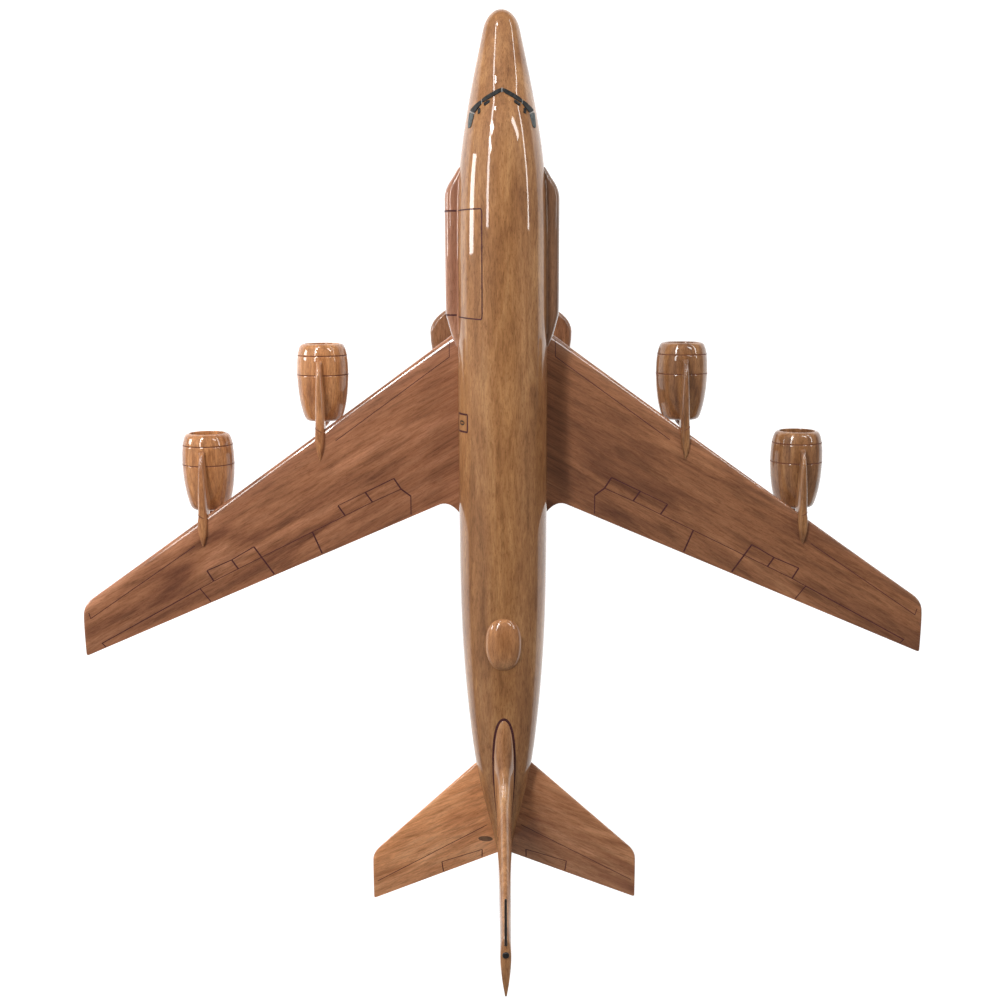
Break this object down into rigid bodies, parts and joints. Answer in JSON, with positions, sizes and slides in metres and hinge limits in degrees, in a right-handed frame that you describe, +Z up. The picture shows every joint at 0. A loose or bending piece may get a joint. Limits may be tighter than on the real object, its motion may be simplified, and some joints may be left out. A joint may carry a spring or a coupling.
{
  "type": "desktop airliner model",
  "caption": "Carved wooden desk model of a swept-wing four-engined jet that turns and lifts off the pin of its wooden stand.",
  "frame": {"origin": "underside of the felt sheet, on the axis of the stand's pin", "axes": "+Z up along the pin, nose towards -Y, port wing towards +X"},
  "size_m": [0.3996, 0.4228, 0.2302],
  "materials": {
    "mahogany_body": "clear gloss lacquer over carved mahogany",
    "mahogany_wing": "clear gloss lacquer over carved mahogany",
    "mahogany_tail": "clear gloss lacquer over carved mahogany",
    "mahogany_nacelle": "clear gloss lacquer over turned mahogany",
    "mahogany_stand": "clear gloss lacquer over mahogany",
    "dowel_wood": "bare",
    "dark_inlay": "glossy dark inlay",
    "black_pin": "satin black",
    "fan_metal": "satin dark grey",
    "brass": "brushed",
    "steel": "brushed",
    "felt": "felt"
  },
  "bodies": {
    "stand": {"base_plate": "mahogany_stand", "felt_sheet": "felt", "stand_column": "mahogany_stand", "stand_pin": "steel", "base_screw_front": "steel", "base_screw_rear": "steel"},
    "washer": {"swivel_washer": "brass"},
    "aircraft": {"fuselage": "mahogany_body", "dome_fairing": "mahogany_body", "fin": "mahogany_tail", "fin_tip_probe": "black_pin", "fin_tip_beacon": "black_pin", "fin_dowel_front": "dowel_wood", "fin_dowel_rear": "dowel_wood", "belly_bush": "brass", "cheek_fairing_left": "mahogany_body", "windshield_left": "dark_inlay", "eyebrow_window_front_left": "dark_inlay", "eyebrow_window_rear_left": "dark_inlay", "wing_left": "mahogany_wing", "stabilizer_left": "mahogany_tail", "wing_dowel_front_left": "dowel_wood", "wing_dowel_rear_left": "dowel_wood", "stabilizer_dowel_left": "dowel_wood", "cheek_fairing_right": "mahogany_body", "windshield_right": "dark_inlay", "eyebrow_window_front_right": "dark_inlay", "eyebrow_window_rear_right": "dark_inlay", "wing_right": "mahogany_wing", "stabilizer_right": "mahogany_tail", "wing_dowel_front_right": "dowel_wood", "wing_dowel_rear_right": "dowel_wood", "stabilizer_dowel_right": "dowel_wood", "nacelle_outer_left": "mahogany_nacelle", "intake_fan_outer_left": "fan_metal", "exhaust_cone_outer_left": "mahogany_nacelle", "pylon_outer_left": "mahogany_wing", "nacelle_inner_left": "mahogany_nacelle", "intake_fan_inner_left": "fan_metal", "exhaust_cone_inner_left": "mahogany_nacelle", "pylon_inner_left": "mahogany_wing", "nacelle_inner_right": "mahogany_nacelle", "intake_fan_inner_right": "fan_metal", "exhaust_cone_inner_right": "mahogany_nacelle", "pylon_inner_right": "mahogany_wing", "nacelle_outer_right": "mahogany_nacelle", "intake_fan_outer_right": "fan_metal", "exhaust_cone_outer_right": "mahogany_nacelle", "pylon_outer_right": "mahogany_wing"}
  },
  "joints": [
    {"name": "swivel", "type": "hinge", "parent": "stand", "child": "washer", "pos_m": [0, 0, 0.113], "axis": [0, 0, 1], "continuous": true},
    {"name": "lift_off", "type": "slide", "parent": "washer", "child": "aircraft", "axis": [0, 0, 1], "range_m": [0, 0.024]}
  ]
}
